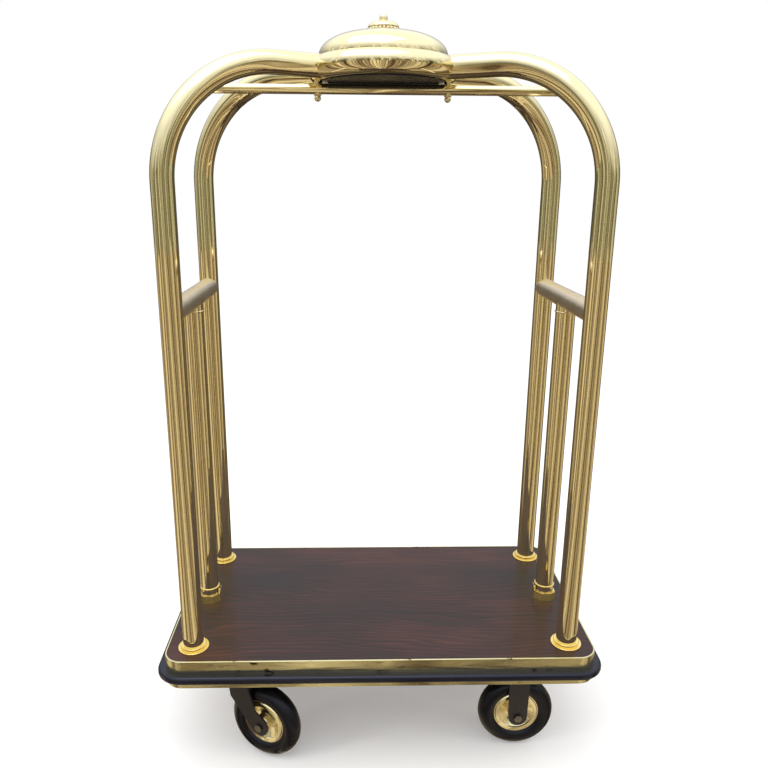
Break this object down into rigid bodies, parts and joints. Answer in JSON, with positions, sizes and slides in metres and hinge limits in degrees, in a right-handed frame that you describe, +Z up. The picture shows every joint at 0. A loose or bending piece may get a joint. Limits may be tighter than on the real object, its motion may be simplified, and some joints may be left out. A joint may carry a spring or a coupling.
{
  "type": "hotel luggage cart",
  "caption": "Birdcage luggage cart: a veneered deck with a rubber bumper on rigid and swivel casters, under arched brass tubes that meet at a domed crown with a hanger bar.",
  "frame": {"origin": "on the floor under the middle of the deck", "axes": "+Z up, X along the cart with the swivel casters at -X, Y across it with the front at -Y"},
  "size_m": [1.104, 0.606, 1.8054],
  "materials": {
    "polished_brass": "polished, clear lacquered",
    "hub_brass": "polished, dished",
    "bush_bronze": "sintered bronze",
    "wood_veneer": "dark stained oak veneer, semi-gloss",
    "core_wood": "glued frame of boards",
    "bumper_rubber": "extruded black rubber",
    "black_tyre": "smooth black cushion rubber",
    "caster_paint": "dark bronze paint",
    "caster_steel": "blackened steel",
    "bright_steel": "bright zinc plated",
    "black_pan": "gloss black enamel"
  },
  "bodies": {
    "cart_frame": {"deck_board": "wood_veneer", "deck_core": "core_wood", "deck_rim": "polished_brass", "deck_bumper": "bumper_rubber", "arch_tube_front_left": "polished_brass", "arch_tube_rear_left": "polished_brass", "arch_tube_front_right": "polished_brass", "arch_tube_rear_right": "polished_brass", "side_rail_left": "polished_brass", "side_rail_right": "polished_brass", "mid_post_left": "polished_brass", "mid_post_right": "polished_brass", "mid_post_collars": "polished_brass", "mid_post_sockets": "polished_brass", "post_flanges": "polished_brass", "post_anchors": "bright_steel", "post_anchor_nuts": "bright_steel", "crown_ring": "polished_brass", "crown_dome": "polished_brass", "crown_plate": "black_pan", "crown_plate_screws": "bright_steel", "finial_bead_ring": "polished_brass", "finial_cap": "polished_brass", "finial_button": "polished_brass", "finial_stud": "bright_steel", "hanger_bar": "polished_brass", "hanger_bar_caps": "polished_brass", "hanger_spacers": "polished_brass", "hanger_rods": "bright_steel", "hanger_ball_nuts": "polished_brass", "caster_bolts": "caster_steel", "bracket_front_right": "caster_paint", "axle_front_right": "caster_steel", "axle_nut_front_right": "caster_steel", "bracket_rear_right": "caster_paint", "axle_rear_right": "caster_steel", "axle_nut_rear_right": "caster_steel", "top_plate_front_left": "caster_paint", "top_plate_rear_left": "caster_paint", "king_pins": "caster_steel"},
    "swivel_front_left": {"fork_front_left": "caster_paint", "bearing_balls_front_left": "caster_steel", "axle_front_left": "caster_steel", "axle_nut_front_left": "caster_steel"},
    "swivel_rear_left": {"fork_rear_left": "caster_paint", "bearing_balls_rear_left": "caster_steel", "axle_rear_left": "caster_steel", "axle_nut_rear_left": "caster_steel"},
    "wheel_front_left": {"tyre_front_left": "black_tyre", "hub_front_left": "hub_brass", "bush_front_left": "bush_bronze"},
    "wheel_rear_left": {"tyre_rear_left": "black_tyre", "hub_rear_left": "hub_brass", "bush_rear_left": "bush_bronze"},
    "wheel_front_right": {"tyre_front_right": "black_tyre", "hub_front_right": "hub_brass", "bush_front_right": "bush_bronze"},
    "wheel_rear_right": {"tyre_rear_right": "black_tyre", "hub_rear_right": "hub_brass", "bush_rear_right": "bush_bronze"}
  },
  "joints": [
    {"name": "swivel_turn_front_left", "type": "hinge", "parent": "cart_frame", "child": "swivel_front_left", "pos_m": [-0.345, -0.186, 0.222], "axis": [0, 0, 1], "continuous": true},
    {"name": "swivel_turn_rear_left", "type": "hinge", "parent": "cart_frame", "child": "swivel_rear_left", "pos_m": [-0.345, 0.186, 0.222], "axis": [0, 0, 1], "continuous": true},
    {"name": "wheel_roll_front_left", "type": "hinge", "parent": "swivel_front_left", "child": "wheel_front_left", "pos_m": [-0.29332, -0.21233, 0.098], "axis": [0.454, 0.891, 0], "continuous": true},
    {"name": "wheel_roll_rear_left", "type": "hinge", "parent": "swivel_rear_left", "child": "wheel_rear_left", "pos_m": [-0.29122, 0.16427, 0.098], "axis": [0.3746, 0.9272, 0], "continuous": true},
    {"name": "wheel_roll_front_right", "type": "hinge", "parent": "cart_frame", "child": "wheel_front_right", "pos_m": [0.358, -0.186, 0.098], "axis": [0, 1, 0], "continuous": true},
    {"name": "wheel_roll_rear_right", "type": "hinge", "parent": "cart_frame", "child": "wheel_rear_right", "pos_m": [0.358, 0.186, 0.098], "axis": [0, 1, 0], "continuous": true}
  ]
}
